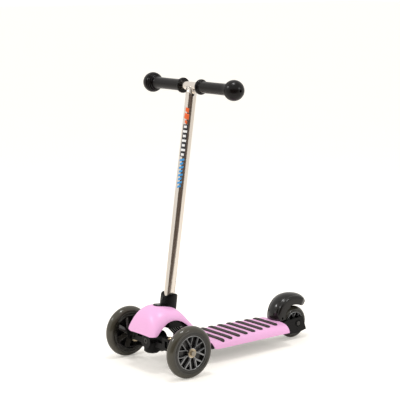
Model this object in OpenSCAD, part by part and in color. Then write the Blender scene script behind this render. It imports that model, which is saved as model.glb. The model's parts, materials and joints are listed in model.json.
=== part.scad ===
// Toddler kick scooter: two steered front wheels under a leaning truck, one braked rear wheel.
// The scooter rolls towards -Y and the rider's left is +X. The ground is Z = 0.
// Lengths along the scooter are measured from the front axle, and place() moves them so that
// the origin lies on the ground under the middle of the whole scooter.

/* [Overall] */
// Distance from the front axle to the rear axle
wheelbase = 416; // [396:1:500]
// Distance between the middles of the two front tyres
track = 237; // [231:1:270]
// Height of the middle of the handlebar above the ground
bar_height = 643; // [420:1:800]
// Lean of the steering post towards the rider, in degrees
rake = 8; // [6:0.5:10]

/* [Handlebar] */
// Outside diameter of the steering post
stem_d = 25; // [22:0.5:28]
// Wall of the steering post
stem_wall = 1.5; // [1:0.1:3]
// Outside diameter of the crossbar
bar_d = 20; // [16:0.5:22]
// Wall of the crossbar
bar_wall = 1.5; // [1:0.1:3]
// Overall width of the handlebar over its ball ends
bar_span = 347; // [300:1:420]
// Diameter of the ball at the end of each grip
ball_d = 46.8; // [42:0.2:52]
// Diameter of the grip where it is held
grip_d = 27; // [25:0.5:30]
// Clear crossbar between the two grips
bare_bar = 60; // [50:1:90]
// Radius of the streamer hole in each ball end
streamer_r = 3; // [2:0.25:4]
// Depth of the streamer hole
streamer_depth = 10; // [6:1:14]

/* [Wheels] */
// Diameter of the front tyres
front_d = 120; // [116:1:124]
// Width of the front tyres
front_w = 24; // [22:1:26]
// Diameter of the front rims
front_rim_d = 80; // [76:1:84]
// Diameter of the rear tyre
rear_d = 80; // [76:1:80]
// Width of the rear tyre
rear_w = 24; // [22:1:26]
// Diameter of the rear rim
rear_rim_d = 54; // [50:1:56]
// Number of Y-shaped spokes in a front rim
spokes = 7; // [5:1:9]
// Diameter of the axle bolts
axle_d = 8; // [6:0.5:8]

/* [Deck] */
// Width of the deck at its front
deck_w_front = 132; // [126:1:150]
// Width of the deck at its rear
deck_w_rear = 122; // [118:1:140]
// Height of the deck's lower edge above the ground
skirt_z = 33; // [32:0.5:34]
// Height of the deck's top at its front
deck_z_front = 50; // [49:0.5:52]
// Height of the deck's top at its rear
deck_z_rear = 54; // [53:0.5:55]
// Wall of the deck cover
cover_wall = 3; // [2.5:0.1:3.2]
// Number of rubber strips across the deck
strips = 8; // [4:1:8]
// Width of one rubber strip
strip_w = 12; // [8:0.2:13]
// Height that the strips stand above the deck
strip_rise = 2.5; // [1.5:0.25:3]

/* [Truck] */
// Height of the leaning axis above the ground
lean_z = 66; // [65:0.5:68]
// Diameter of the bolt on the leaning axis
lean_bolt_d = 8; // [6:0.5:9]
// Distance of each kingpin from the middle
kingpin_x = 68; // [64:1:72]
// Diameter of the kingpins
kingpin_d = 8; // [6:0.5:9]
// Length of each steering arm, from the kingpin back to the tie rod
steer_arm = 24; // [22:0.5:27]
// Height of the leaning axis above the tie rod
steer_lever = 24; // [23:0.5:25]

/* [Brake] */
// Width of the brake over its sides
brake_w = 48; // [46:1:52]
// Wall of the brake
brake_wall = 3.5; // [2.5:0.5:4]
// Gap between the brake pad and the tyre
pad_gap = 2.8; // [2.5:0.1:4]

/* [Fits] */
// Radial clearance of a turning pin in its bore
run_fit = 0.05; // [0.02:0.01:0.09]
// Radial clearance of parts that are pushed together
push_fit = 0.1; // [0.05:0.01:0.2]
// Gap between flat faces that move past each other
side_gap = 0.4; // [0.3:0.05:0.6]

/* [Hidden] */
$fn = 48;
tiny = 0.01;

// Colours
pink = [0.96, 0.66, 0.86];
black = [0.13, 0.13, 0.14];
dark_grey = [0.26, 0.25, 0.25];
alloy = [0.84, 0.84, 0.85];
steel = [0.72, 0.72, 0.73];
brass_tint = [0.74, 0.68, 0.58];

// Places along the scooter, from the front axle
front_r = front_d / 2;
rear_r = rear_d / 2;
mid_y = (wheelbase + rear_r - front_r) / 2;
deck_start = 126;
deck_end = wheelbase - 61;

// Steering post: s is measured up its axis from the foot, where it leaves the hood
foot_y = 30.5;
foot_z = 138;
stem_r = stem_d / 2;
bar_r = bar_d / 2;
bar_s = (bar_height - foot_z) / cos(rake);
bar_y = foot_y + bar_s * sin(rake);
stem_in = 34;
socket_r = stem_r + 7;
socket_in_r = stem_r + 4.5;
socket_floor = stem_in + 4;
crown_top = 33;
crown_dip = 9;
flange_h = 4;
flange_low = 12;
screw_low = 22;
flange_tip = 40;
lock_s = 19;
lock_r = 4;
lock_proud = 1.5;
lock_stop = -stem_r + stem_wall + 1.8;

// Grips
ball_r = ball_d / 2;
grip_r = grip_d / 2;
ball_x = bar_span / 2 - ball_r;
grip_in_x = bare_bar / 2;
grip_flange_r = grip_r + 4.2;
grip_flange_w = 7;
bar_half = ball_x - 14;

// Front wheels and their steering
wheel_x = track / 2;
knuckle_y = -14;
ear_r = 9;
ear_low = 54;
ear_high = 82;
ear_h = 6;
kingpin_r = kingpin_d / 2;
axle_r = axle_d / 2;
tie_z = lean_z - steer_lever;
tie_y = knuckle_y + steer_arm;
tie_r = 3.5;
tie_pin_r = 2.5;
arm_h = 6;
bearing_r = 11;
bearing_w = 7;
hub_r = 14;
hub_w = front_w - 1;
wheel_in_x = wheel_x - hub_w / 2;
stub_out_x = wheel_x + hub_w / 2;

// Leaning truck
beam_w = 16;
barrel_r = 17;
barrel_front = -34;
barrel_back = 16;
pot_y = -15;
pot_r = 19;
pot_bottom = 37;
slot_x = 11.4;
slot_y = 12.6;
cavity_r = 15.6;
cavity_bottom = 41;
eye_r = 9.6;
eye_half = slot_y - side_gap;
bush_wall = 1.5;
lean_r = lean_bolt_d / 2;
finger_w = 9;
spring_z = 53;
post_top = 99;

// Rear end
cheek_in = rear_w / 2 + 2.5;
cheek_w = 9;
cheek_out = cheek_in + cheek_w;
brake_pivot_y = wheelbase - 52;
brake_pivot_z = 60;
brake_pin_r = 3;
lug_in = 11.5;
lug_w = 4.5;
lug_r = 6;
brake_half = brake_w / 2;
crown_y = wheelbase - 15;
crown_z = 62;
crown_r = 54;
tail_drop = 30;
tail_r = crown_r + tail_drop;
brake_depth = 27;
brake_low = deck_z_rear + 0.6;

// ---- helpers ----

module place() {
    translate([0, -mid_y, 0]) children();
}

// Puts children on the steering post's axis, with Z up the post
module on_stem() {
    translate([0, foot_y, foot_z]) rotate([-rake, 0, 0]) children();
}

// A cylinder along X from x0 to x1
module rod_x(r, x0, x1) {
    translate([x0, 0, 0]) rotate([0, 90, 0]) cylinder(r = r, h = x1 - x0);
}

// A cylinder along Y from y0 to y1
module rod_y(r, y0, y1) {
    translate([0, y0, 0]) rotate([-90, 0, 0]) cylinder(r = r, h = y1 - y0);
}

module both_sides() {
    children();
    mirror([1, 0, 0]) children();
}

// A box from one corner to the other
module box(a, b) {
    translate(a) cube(b - a);
}

// ---- deck cover surface ----

// Each row is a cross-section of the cover: its place, half width, top, lower edge, and how square
// it is across and upwards
cover_rows = [
    [-50, 36, 85.5, 84.5, 2.4, 1.85],
    [-47, 49, 102, 86.5, 2.4, 1.85],
    [-40, 53, 123, 88, 2.3, 1.85],
    [-26, 53, 138.5, 102, 2.2, 1.85],
    [-8, 52.5, 145, 115, 2.1, 1.85],
    [14, 55.5, 143.5, 118, 2.1, 1.85],
    [36, 58, 136.5, 108, 2.3, 1.85],
    [58, 59, 114, 88, 2.6, 1.85],
    [80, 60, 86, 70, 3.2, 1.9],
    [98, 62, 66, 57, 4.5, 2.1],
    [111, deck_w_front / 2 - 2, 56, 48, 8, 2.5],
    [119, deck_w_front / 2 - 0.3, deck_z_front + 1, skirt_z + 2, 12, 2.8],
    [deck_start, deck_w_front / 2, deck_z_front, skirt_z, 14, 3],
    [deck_end, deck_w_rear / 2, deck_z_rear, skirt_z, 4.5, 1.85]];
last_row = len(cover_rows) - 1;

function row_slope(i, k) =
    let (a = max(i - 1, 0), b = min(i + 1, last_row))
    (cover_rows[b][k] - cover_rows[a][k]) / (cover_rows[b][0] - cover_rows[a][0]);

// Smooth value of column k at the place y, by a cubic between the two nearest rows
function cover_value(y, k) =
    let (
        i = max([for (j = [0 : last_row - 1]) if (cover_rows[j][0] <= y || j == 0) j]),
        a = cover_rows[i],
        b = cover_rows[i + 1],
        h = b[0] - a[0],
        t = (y - a[0]) / h)
    (2 * t ^ 3 - 3 * t ^ 2 + 1) * a[k] + (t ^ 3 - 2 * t ^ 2 + t) * h * row_slope(i, k)
        + (3 * t ^ 2 - 2 * t ^ 3) * b[k] + (t ^ 3 - t ^ 2) * h * row_slope(i + 1, k);

// How much an offset is stretched where the crest is steep
function steepness(y) =
    let (d = (cover_value(y + 1, 2) - cover_value(y - 1, 2)) / 2)
    min(1.5, sqrt(1 + d * d));

// A point on the cover's surface, or on a surface set in from it
function cover_point(y, a, inset) =
    let (
        across = cover_value(y, 4),
        upwards = cover_value(y, 5),
        w = cover_value(y, 1) - inset,
        low = cover_value(y, 3),
        high = cover_value(y, 2) - inset * (y < 0 ? 1 : steepness(y)),
        nose = max(0, min(1, (-10 - y) / 30)))
    [w * sign(sin(a)) * abs(sin(a)) ^ (2 / across),
        y + inset * nose,
        low + max(0.6, high - low) * abs(cos(a)) ^ (2 / upwards)];

cover_places = concat(
    [-50, -49.3, -48.3, -47, -45.2, -43, -40, -36],
    [for (y = [-31 : 5.2 : deck_start - 2]) y],
    [for (k = [0 : 6]) deck_start + k * (deck_end - deck_start) / 6]);
cover_angles = [for (k = [-17 : 17]) k * 90 / 17];

function cover_grid(inset, places) = [for (y = places) for (a = cover_angles) cover_point(y, a, inset)];

// Triangles of a grid of rows and columns whose first point has the index start
function grid_faces(rows, cols, start, flip) = [
    for (i = [0 : rows - 2]) for (j = [0 : cols - 2])
        let (p = start + i * cols + j, q = p + cols)
        each flip ? [[p, p + 1, q + 1], [p, q + 1, q]] : [[p, q + 1, p + 1], [p, q, q + 1]]];

// Two triangles between the points a, b of one edge and c, d of the edge beside it
function strip_faces(a, b, c, d) = [[a, b, d], [a, d, c]];

module cover_shell() {
    rows = len(cover_places);
    cols = len(cover_angles);
    inner = rows * cols;
    points = concat(cover_grid(0, cover_places), cover_grid(cover_wall, cover_places));
    faces = concat(
        grid_faces(rows, cols, 0, false),
        grid_faces(rows, cols, inner, true),
        [for (i = [0 : rows - 2]) let (p = i * cols, q = p + cols - 1)
            each concat(
                strip_faces(p, p + inner, p + cols, p + cols + inner),
                strip_faces(q + inner, q, q + cols + inner, q + cols))],
        [for (j = [0 : cols - 2]) let (p = j, q = (rows - 1) * cols + j)
            each concat(
                strip_faces(p + 1, p + 1 + inner, p, p + inner),
                strip_faces(q, q + inner, q + 1, q + 1 + inner))]);
    polyhedron(points = points, faces = faces, convexity = 8);
}

// The room under a surface set in from the cover, closed far below it
module under_cover(inset, bottom, first) {
    places = [for (y = cover_places) if (y >= first) y];
    rows = len(places);
    cols = len(cover_angles) + 2;
    points = [for (y = places)
        let (left = cover_point(y, -90, inset), right = cover_point(y, 90, inset))
        each concat(
            [[left[0], left[1], bottom]],
            [for (a = cover_angles) cover_point(y, a, inset)],
            [[right[0], right[1], bottom]])];
    faces = concat(
        grid_faces(rows, cols, 0, false),
        [for (i = [0 : rows - 2]) let (p = i * cols, q = p + cols - 1)
            each strip_faces(q, q + cols, p, p + cols)],
        [[for (j = [0 : cols - 1]) j], [for (j = [cols - 1 : -1 : 0]) (rows - 1) * cols + j]]);
    polyhedron(points = points, faces = faces, convexity = 8);
}

// Outline of the socket's flange, seen down the post
module flange_outline(grow) {
    circle(r = socket_r + 0.3 + grow);
    translate([0, 14 - flange_tip]) circle(r = 14 + grow);
    polygon([
        [-socket_r - 1 - grow, -7], [socket_r + 1 + grow, -7],
        [13.6 + grow, 11 - flange_tip], [-13.6 - grow, 11 - flange_tip]]);
}

module deck_cover() place() color(pink) difference() {
    cover_shell();
    on_stem() translate([0, 0, -20]) linear_extrude(40) flange_outline(side_gap);
}

// ---- steering post and handlebar ----

module stem_tube() place() color(alloy) difference() {
    on_stem() difference() {
        translate([0, 0, -stem_in]) cylinder(r = stem_r, h = stem_in + bar_s);
        translate([0, 0, -stem_in - tiny]) cylinder(r = stem_r - stem_wall, h = stem_in + bar_s);
        translate([0, 0, lock_s]) rod_y(lock_r + side_gap / 2, -stem_r - 1, 0);
    }
    translate([0, bar_y, bar_height]) rod_x(bar_r + tiny, -stem_d, stem_d);
}

module crossbar() place() color(alloy) translate([0, bar_y, bar_height]) difference() {
    rod_x(bar_r, -bar_half, bar_half);
    rod_x(bar_r - bar_wall, -bar_half - 1, bar_half + 1);
}

// Half outline of a grip: the distance from its axis against the distance from the middle
module grip_outline() {
    difference() {
        union() {
            translate([0, ball_x]) circle(r = ball_r);
            translate([0, grip_in_x]) square([grip_r, ball_x - grip_in_x]);
            translate([0, grip_in_x + 2]) square([grip_flange_r, grip_flange_w - 4]);
            translate([0, grip_in_x]) square([grip_flange_r - 2, grip_flange_w]);
            for (s = [2, grip_flange_w - 2])
                translate([grip_flange_r - 2, grip_in_x + s]) circle(r = 2);
        }
        translate([-ball_d, 0]) square([ball_d, bar_span]);
        translate([-1, 0]) square([1 + bar_r + push_fit, bar_half]);
        translate([-1, bar_span / 2 - streamer_depth]) square([1 + streamer_r, streamer_depth + 1]);
        for (k = [0 : 3])
            translate([ball_r * cos(12 + 11 * k) + 0.6, ball_x - ball_r * sin(12 + 11 * k) - 0.3])
                circle(r = 1.4);
    }
}

module grip() translate([0, bar_y, bar_height]) rotate([0, 90, 0]) rotate_extrude() grip_outline();

module left_grip() place() color(black) grip();
module right_grip() place() color(black) mirror([1, 0, 0]) grip();

// Printed sleeve round the upper post
decal_low = 277;
decal_high = 465;
module stem_decal() place() color("gainsboro") on_stem() translate([0, 0, decal_low]) difference() {
    cylinder(r = stem_r + 0.3, h = decal_high - decal_low);
    translate([0, 0, -1]) cylinder(r = stem_r + 0.02, h = decal_high - decal_low + 2);
    translate([-stem_d, 2, -1]) cube([2 * stem_d, stem_d, decal_high - decal_low + 2]);
}

module lock_button() place() color(steel) on_stem() translate([0, 0, lock_s]) {
    rod_y(lock_r, -socket_r - lock_proud, lock_stop);
    rod_y(lock_r + 1.2, lock_stop - tiny, lock_stop + 1.3);
}

// Leaf spring bent into a U inside the post, behind the button
module lock_spring() place() color(steel) on_stem() translate([0, 0, lock_s]) {
    leaf = 0.6;
    front = lock_stop + 1.4;
    back = stem_r - stem_wall - 0.6;
    bend_r = (back - front) / 2;
    rotate([90, 0, 90]) translate([0, 0, -3]) linear_extrude(6) {
        translate([front, -20]) square([leaf, 24]);
        translate([back - leaf, -20]) square([leaf, 24]);
        difference() {
            translate([front + bend_r, -20]) circle(r = bend_r);
            translate([front + bend_r, -20]) circle(r = bend_r - leaf);
            translate([front, -20]) square([2 * bend_r, bend_r + 1]);
        }
    }
}

module stem_socket() place() color(black) on_stem() difference() {
    union() {
        cylinder(r = socket_r, h = crown_top);
        translate([0, 0, -flange_low]) linear_extrude(flange_low + flange_h - 1) flange_outline(0);
        translate([0, 0, -socket_floor]) cylinder(r = socket_in_r, h = socket_floor);
    }
    translate([0, 0, -stem_in]) cylinder(r = stem_r + push_fit, h = stem_in + crown_top + 1);
    translate([0, 0, crown_top + 13 - crown_dip]) rod_y(13, -socket_r - 1, socket_r + 1);
    translate([0, 0, lock_s]) rod_y(lock_r + run_fit, -socket_r - 1, 0);
    for (x = [-7, 7]) translate([x, 9 - flange_tip, -screw_low]) cylinder(r = 1.6, h = 2 * screw_low);
}

module socket_screws() place() color(steel) on_stem() for (x = [-7, 7])
    translate([x, 9 - flange_tip, 0]) {
        translate([0, 0, flange_h - 1]) cylinder(r = 3, h = 1.4);
        translate([0, 0, -screw_low]) cylinder(r = 1.5, h = screw_low + flange_h - 1 + tiny);
    }

// ---- deck ----

slope_top = 99;
slope_sum = 134.8;
head_end = 118;
module head_frame() place() color(black) difference() {
    intersection() {
        under_cover(cover_wall + side_gap, 20, -43);
        rotate([90, 0, 90]) translate([0, 0, -80]) linear_extrude(160) polygon([
            [-32, slope_top], [slope_sum - slope_top, slope_top], [slope_sum - 34, 34],
            [head_end, 34], [head_end, 200], [-32, 200]]);
        union() {
            box([-30, -60, 0], [30, 60, 200]);
            box([-45, 0, 0], [45, 110, 200]);
            box([-70, 88, 0], [70, head_end + 1, 200]);
        }
    }
    on_stem() translate([0, 0, -socket_floor - 1]) cylinder(r = socket_in_r + push_fit, h = 90);
    on_stem() translate([0, 0, -flange_low - side_gap]) linear_extrude(50) flange_outline(2 * side_gap);
    on_stem() for (x = [-7, 7]) translate([x, 9 - flange_tip, -screw_low - 1])
        cylinder(r = 1.6, h = screw_low + 1);
    for (k = [-2.5 : 1 : 2.5])
        translate([k * 15 - 6, slope_sum - slope_top + 6, slope_top - 6]) rotate([-45, 0, 0])
            translate([0, -1, -9]) cube([12, 66, 18]);
    for (x = [-14, 14]) for (y = [pot_y - 9, pot_y + 9])
        translate([x, y, slope_top - 1]) cylinder(r = 2, h = 15);
}

// Half width of the room inside the cover's skirt at the place y
function skirt_half(y) = cover_value(y, 1) - cover_wall;

// Flat plate with the deck's outline, set in from the inside of the skirt
module deck_plate(inset, z0, z1, y0, y1) {
    a = skirt_half(max(y0, deck_start)) - inset;
    b = skirt_half(deck_end) - inset;
    translate([0, 0, z0]) linear_extrude(z1 - z0)
        polygon([[-a, y0], [a, y0], [b, y1], [-b, y1]]);
}

tray_low = skirt_z + 1;
tray_top = 44;
cheek_start = deck_end - 20;
module fork_cheek() {
    back = wheelbase + 15.6;
    rotate([90, 0, 90]) translate([0, 0, cheek_in]) linear_extrude(cheek_w) difference() {
        union() {
            polygon([
                [cheek_start, tray_low], [wheelbase - 34, 16.5], [wheelbase + 1, 15],
                [wheelbase + 27.7, 21.3], [back, 55.6], [wheelbase - 34, 52], [cheek_start, 47]]);
        }
        translate([wheelbase, rear_r]) circle(r = axle_r + push_fit);
    }
}

module under_deck() place() color(black) difference() {
    union() {
        deck_plate(4, tray_low, 40, head_end, deck_end - 2);
        deck_plate(12, 40 - tiny, tray_top, head_end, deck_end - 2);
        box([-cheek_out, cheek_start, tray_low], [cheek_out, brake_pivot_y + 5, 48]);
        both_sides() fork_cheek();
        both_sides() rotate([90, 0, 90]) translate([0, 0, lug_in]) linear_extrude(lug_w) {
            translate([brake_pivot_y, brake_pivot_z]) circle(r = lug_r);
            translate([brake_pivot_y - lug_r, tray_top]) square([2 * lug_r, brake_pivot_z - tray_top]);
        }
        for (x = [-30, 0, 30]) rotate([90, 0, 90]) translate([0, 0, x - 1.5]) linear_extrude(3)
            polygon([
                [deck_start, tray_top - 1], [deck_start, deck_z_front - cover_wall - side_gap],
                [cheek_start, deck_z_rear - cover_wall - 1], [cheek_start, tray_top - 1]]);
    }
    for (k = [0 : 5]) for (s = [-1, 1]) for (lane = [0, 1]) {
        y0 = head_end + 6 + k * (cheek_start - head_end - 6) / 6;
        y1 = y0 + (cheek_start - head_end - 6) / 6 - 3;
        x0 = lane == 0 ? 2 : 24;
        box([s > 0 ? x0 : -x0 - 19, y0, tray_low - 1], [s > 0 ? x0 + 19 : -x0, y1, tray_top - 3]);
    }
    both_sides() translate([0, wheelbase, rear_r]) rod_x(8.5, cheek_out - 3, cheek_out + 1);
    translate([0, brake_pivot_y, brake_pivot_z]) rod_x(brake_pin_r + push_fit, -25, 25);
    for (y = deck_screw_y) for (x = [-13, 13])
        translate([x, y, tray_low]) cylinder(r = 2.1, h = 20);
}

deck_screw_y = [for (k = [0.5 : 2 : 4.5]) head_end + 4 + k * (cheek_start - head_end - 6) / 6];
module deck_screws() place() color(steel) for (y = deck_screw_y) for (x = [-13, 13])
    translate([x, y, 0]) {
        translate([0, 0, tray_top - 5.5]) cylinder(r = 4, h = 2.5);
        translate([0, 0, tray_top - 3 - tiny]) cylinder(r = 2, h = 5);
    }

// Rubber strips follow the crowned top of the deck
strip_first = 145.7;
strip_pitch = (deck_end - 27.2 - strip_first) / 7;
function strip_y(k) = strip_first + (k - 1) * strip_pitch;
function strip_half(k) = deck_w_front / 2 - 2.8 - 2.86 * (k - 1);

module deck_block(y0, y1, lift) {
    places = [for (k = [0 : 2]) y0 + k * (y1 - y0) / 2];
    cols = len(cover_angles);
    points = [for (y = places) each concat(
        [for (a = cover_angles) cover_point(y, a, 0) + [0, 0, lift]])];
    faces = concat(
        grid_faces(3, cols, 0, false),
        [for (i = [0, 1]) let (p = i * cols, q = p + cols - 1) each strip_faces(q, q + cols, p, p + cols)],
        [[for (j = [0 : cols - 1]) j], [for (j = [cols - 1 : -1 : 0]) 2 * cols + j]]);
    polyhedron(points = points, faces = faces, convexity = 4);
}

module grip_strip(k) place() color(dark_grey) if (k <= strips) difference() {
    y = strip_y(k);
    half = strip_half(k);
    intersection() {
        deck_block(y - 12, y + 12, strip_rise);
        translate([0, y, 35]) linear_extrude(30) {
            square([2 * half - strip_w + 10 * tiny, strip_w], center = true);
            both_sides() translate([half - strip_w / 2, 0]) circle(d = strip_w, $fn = 20);
        }
    }
    deck_block(y - 14, y + 14, 3 * tiny);
}
module grip_strip_1() grip_strip(1);
module grip_strip_2() grip_strip(2);
module grip_strip_3() grip_strip(3);
module grip_strip_4() grip_strip(4);
module grip_strip_5() grip_strip(5);
module grip_strip_6() grip_strip(6);
module grip_strip_7() grip_strip(7);
module grip_strip_8() grip_strip(8);

// ---- leaning truck ----

// Post that hangs from the head frame: its eye turns on the leaning bolt, and its finger steers
module steering_post() place() color(dark_grey) difference() {
    union() {
        box([-20, pot_y - 14, post_top - 6], [20, pot_y + 14, post_top]);
        box([-6, pot_y - eye_half + 2, lean_z], [6, pot_y + eye_half - 2, post_top - 5]);
        translate([0, pot_y, lean_z]) rod_y(eye_r, -eye_half, eye_half);
        box([-finger_w / 2, pot_y - 5, tie_z + 0.5], [finger_w / 2, pot_y + 5, lean_z - 4]);
        translate([0, 0, tie_z]) rod_y(3, pot_y, tie_y + tie_r + 2);
    }
    translate([0, pot_y, lean_z]) rod_y(lean_r + bush_wall + push_fit, -20, 20);
    for (x = [-14, 14]) for (y = [pot_y - 9, pot_y + 9])
        translate([x, y, post_top - 10]) cylinder(r = 2.1, h = 12);
}

module post_screws() place() color(steel) for (x = [-14, 14]) for (y = [pot_y - 9, pot_y + 9])
    translate([x, y, 0]) {
        translate([0, 0, post_top - 8.5]) cylinder(r = 3.5, h = 2.5);
        translate([0, 0, post_top - 6 - tiny]) cylinder(r = 1.9, h = 17);
    }

module lean_bush() place() color(brass_tint) translate([0, pot_y, lean_z]) difference() {
    rod_y(lean_r + bush_wall, -eye_half, eye_half);
    rod_y(lean_r + run_fit, -eye_half - 1, eye_half + 1);
}

module beam_end() {
    translate([kingpin_x, knuckle_y, ear_low]) cylinder(r = ear_r, h = ear_h);
    translate([kingpin_x, knuckle_y, ear_high - ear_h]) cylinder(r = ear_r, h = ear_h);
    front = knuckle_y - beam_w / 2;
    back = knuckle_y + beam_w / 2;
    box([kingpin_x - 20, front, ear_low], [kingpin_x, back, ear_low + ear_h]);
    box([kingpin_x - 20, front, ear_high - ear_h], [kingpin_x, back, ear_high]);
    box([kingpin_x - 21, front, ear_low], [kingpin_x - 11, back, ear_high]);
    box([0, front, ear_low], [kingpin_x - 20, back, ear_low + 13]);
    rotate([90, 0, 0]) translate([0, 0, -knuckle_y - 2]) linear_extrude(4)
        polygon([[14, ear_low + 10], [kingpin_x - 18, ear_low + 10], [kingpin_x - 18, ear_high - 3]]);
}

module axle_beam() place() color(dark_grey) difference() {
    union() {
        both_sides() beam_end();
        translate([0, 0, lean_z]) rod_y(barrel_r, barrel_front, barrel_back);
        translate([0, pot_y, pot_bottom + 4]) cylinder(r = pot_r, h = lean_z - pot_bottom - 6);
        translate([0, pot_y, pot_bottom]) cylinder(r1 = pot_r - 5, r2 = pot_r, h = 4 + tiny);
        translate([0, pot_y, 60]) cylinder(r = pot_r + 1.5, h = 3);
    }
    box([-slot_x, pot_y - slot_y, lean_z - 12], [slot_x, pot_y + slot_y, lean_z + 30]);
    translate([0, pot_y, cavity_bottom]) cylinder(r = cavity_r - 3, h = 20);
    box([-cavity_r, pot_y - 7, cavity_bottom + 3], [cavity_r, pot_y + 7, lean_z - 5]);
    box([-9.5, pot_y, tie_z - 4.4], [9.5, barrel_back + 1, tie_z + 6.5]);
    box([-9.5, pot_y, cavity_bottom - 5], [9.5, pot_y + 8, tie_z + 6.5]);
    translate([0, 0, lean_z]) rod_y(lean_r + push_fit, barrel_front - 1, barrel_back + 1);
    translate([0, 0, lean_z]) rod_y(8, barrel_front - 3, barrel_front + 4);
    translate([0, 0, lean_z]) rod_y(8, barrel_back - 5, barrel_back + 1);
    both_sides() translate([kingpin_x, knuckle_y, ear_low - 1])
        cylinder(r = kingpin_r + push_fit, h = ear_high - ear_low + 2);
}

module lean_bolt() place() color(steel) translate([0, 0, lean_z]) {
    rod_y(lean_r, barrel_front + 4 - tiny, barrel_back);
    difference() {
        rod_y(7, barrel_front, barrel_front + 4);
        rotate([-90, 0, 0]) translate([0, 0, barrel_front - 1]) cylinder(r = 3, h = 3.5, $fn = 6);
    }
}

module lean_nut() place() color(steel) translate([0, 0, lean_z]) difference() {
    rotate([-90, 0, 0]) translate([0, 0, barrel_back - 5]) cylinder(r = 7, h = 5, $fn = 6);
    rod_y(lean_r + push_fit, barrel_back - 6, barrel_back + 1);
}

// Spring between the steering finger and the wall of the pot, drawn as its stacked turns
module centring_spring() translate([0, pot_y, spring_z]) {
    wire = 0.7;
    turn_r = 3.6;
    gap = cavity_r - finger_w / 2;
    for (k = [0 : 5]) translate([finger_w / 2 + wire + k * (gap - 2 * wire) / 5, 0, 0])
        rotate([0, 90, 0]) rotate_extrude() translate([turn_r, 0]) circle(r = wire - 0.02, $fn = 16);
    for (a = [0, 180]) rotate([a, 0, 0]) translate([0, turn_r, 0])
        rod_x(0.4, finger_w / 2 + wire, cavity_r - wire);
}
module left_centring_spring() place() color(steel) centring_spring();
module right_centring_spring() place() color(steel) mirror([1, 0, 0]) centring_spring();

module kingpin() translate([kingpin_x, knuckle_y, 0]) {
    translate([0, 0, ear_low - 4]) cylinder(r = kingpin_r, h = ear_high - ear_low + 4 + tiny);
    translate([0, 0, ear_high]) cylinder(r = kingpin_r + 3, h = 1.2);
    translate([0, 0, ear_high + 1.2 - tiny]) intersection() {
        cylinder(r = kingpin_r + 2, h = 3.6);
        translate([0, 0, -5]) sphere(r = 8.6, $fn = 64);
    }
    translate([0, 0, ear_low - 5]) cylinder(r = kingpin_r + 2.5, h = 5 - tiny, $fn = 6);
}
module left_kingpin() place() color(brass_tint) kingpin();
module right_kingpin() place() color(brass_tint) mirror([1, 0, 0]) kingpin();

module tie_rod() place() color(steel) difference() {
    union() {
        translate([0, tie_y, tie_z]) rod_x(tie_r, -kingpin_x, kingpin_x);
        both_sides() translate([kingpin_x, tie_y, tie_z - tie_r]) cylinder(r = 7, h = 2 * tie_r);
        translate([0, tie_y, tie_z]) cube([14, 2 * tie_r, 13], center = true);
    }
    rotate([-90, 0, 0]) linear_extrude(60) {
        translate([0, -tie_z]) square([6 + 2 * side_gap, 8], center = true);
    }
    both_sides() translate([kingpin_x, tie_y, tie_z - tie_r - 1]) linear_extrude(2 * tie_r + 2) {
        square([2 * tie_pin_r + side_gap, 3], center = true);
        for (y = [-1.5, 1.5]) translate([0, y]) circle(r = tie_pin_r + side_gap / 2);
    }
}

// ---- steered knuckles and front wheels ----

knuckle_low = ear_low + ear_h + side_gap;
knuckle_high = ear_high - ear_h - side_gap;
arm_top = tie_z - tie_r - side_gap;
module knuckle() {
    difference() {
        union() {
            translate([kingpin_x, knuckle_y, knuckle_low])
                cylinder(r = ear_r - 1, h = knuckle_high - knuckle_low);
            box([kingpin_x, knuckle_y - 6, knuckle_low], [kingpin_x + 24, knuckle_y + 6, knuckle_high]);
            box([kingpin_x + 12, knuckle_y - 6, front_r - 9], [kingpin_x + 24, 7, knuckle_high]);
            translate([0, 0, front_r]) rod_x(9, kingpin_x + 12, wheel_in_x - 2);
            box([kingpin_x + 12, -6, arm_top - arm_h], [kingpin_x + 22, 7, front_r]);
            box([kingpin_x, tie_y - 6, arm_top - arm_h], [kingpin_x + 22, tie_y + 6, arm_top]);
            translate([kingpin_x, tie_y, arm_top - arm_h]) cylinder(r = 6, h = arm_h);
        }
        translate([kingpin_x, knuckle_y, ear_low]) cylinder(r = kingpin_r + run_fit, h = ear_high - ear_low);
        translate([0, 0, front_r]) rod_x(axle_r + push_fit, kingpin_x + 8, wheel_x);
        translate([kingpin_x, tie_y, arm_top - arm_h - 1]) cylinder(r = tie_pin_r + push_fit, h = arm_h + 2);
    }
}
module left_knuckle() place() color(dark_grey) knuckle();
module right_knuckle() place() color(dark_grey) mirror([1, 0, 0]) knuckle();

washer_h = 1.6;
head_h = 4.5;
module stub_axle() translate([0, 0, front_r]) {
    rod_x(axle_r, kingpin_x + 10, stub_out_x + washer_h + tiny);
    translate([stub_out_x + washer_h, 0, 0]) rotate([0, 90, 0]) cylinder(r = 6.4, h = head_h, $fn = 6);
    rod_x(axle_r + 2.4, wheel_in_x - 2 + tiny, wheel_in_x - side_gap);
}
module left_stub_axle() place() color(steel) stub_axle();
module right_stub_axle() place() color(steel) mirror([1, 0, 0]) stub_axle();

module axle_washer() translate([0, 0, front_r]) difference() {
    rod_x(10, stub_out_x + side_gap, stub_out_x + washer_h);
    rod_x(axle_r + push_fit, stub_out_x - 1, stub_out_x + washer_h + 1);
}
module left_axle_washer() place() color(brass_tint) axle_washer();
module right_axle_washer() place() color(brass_tint) mirror([1, 0, 0]) axle_washer();

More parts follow.
